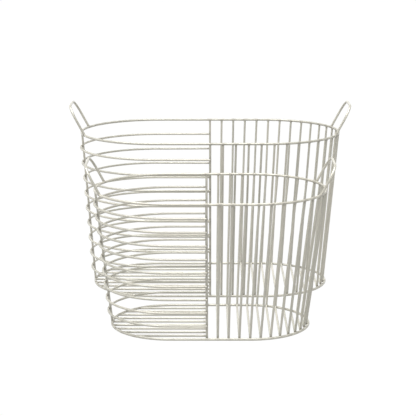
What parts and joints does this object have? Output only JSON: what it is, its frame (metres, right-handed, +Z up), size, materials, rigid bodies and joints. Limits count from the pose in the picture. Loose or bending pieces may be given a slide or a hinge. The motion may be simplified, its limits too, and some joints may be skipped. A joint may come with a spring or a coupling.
{
  "type": "wire storage basket set",
  "caption": "Set of tapered oval wire storage baskets, a large and a small one, with hoops round one half, U-shaped ribs through the other and a fixed loop handle at each end.",
  "frame": {"origin": "middle of the set's footprint, on the surface that both baskets stand on", "axes": "+X along both baskets, towards their ribbed halves; +Y from the small basket in front to the large one behind; +Z up"},
  "size_m": [0.5382, 0.5782, 0.3539],
  "materials": {
    "coated_wire": "satin"
  },
  "bodies": {
    "large_basket": {"large_rim": "coated_wire", "large_base_ring": "coated_wire", "large_divider": "coated_wire", "large_left_post": "coated_wire", "large_left_handle": "coated_wire", "large_right_handle": "coated_wire", "large_hoop_1": "coated_wire", "large_hoop_2": "coated_wire", "large_hoop_3": "coated_wire", "large_hoop_4": "coated_wire", "large_hoop_5": "coated_wire", "large_hoop_6": "coated_wire", "large_hoop_7": "coated_wire", "large_hoop_8": "coated_wire", "large_hoop_9": "coated_wire", "large_rib_1": "coated_wire", "large_rib_2": "coated_wire", "large_rib_3": "coated_wire", "large_rib_4": "coated_wire", "large_rib_5": "coated_wire", "large_rib_6": "coated_wire", "large_rib_7": "coated_wire", "large_rib_8": "coated_wire", "large_rib_9": "coated_wire", "large_rib_10": "coated_wire", "large_rib_11": "coated_wire", "large_rib_12": "coated_wire", "large_rib_13": "coated_wire", "large_floor_wires": "coated_wire"},
    "small_basket": {"small_rim": "coated_wire", "small_base_ring": "coated_wire", "small_divider": "coated_wire", "small_left_post": "coated_wire", "small_left_handle": "coated_wire", "small_right_handle": "coated_wire", "small_hoop_1": "coated_wire", "small_hoop_2": "coated_wire", "small_hoop_3": "coated_wire", "small_hoop_4": "coated_wire", "small_hoop_5": "coated_wire", "small_hoop_6": "coated_wire", "small_hoop_7": "coated_wire", "small_hoop_8": "coated_wire", "small_hoop_9": "coated_wire", "small_rib_1": "coated_wire", "small_rib_2": "coated_wire", "small_rib_3": "coated_wire", "small_rib_4": "coated_wire", "small_rib_5": "coated_wire", "small_rib_6": "coated_wire", "small_rib_7": "coated_wire", "small_rib_8": "coated_wire", "small_rib_9": "coated_wire", "small_rib_10": "coated_wire", "small_rib_11": "coated_wire", "small_rib_12": "coated_wire", "small_floor_wires": "coated_wire"}
  },
  "joints": [
    {"name": "small_basket_lift", "type": "slide", "parent": "large_basket", "child": "small_basket", "axis": [0, 0, 1], "range_m": [0, 0.4]}
  ]
}
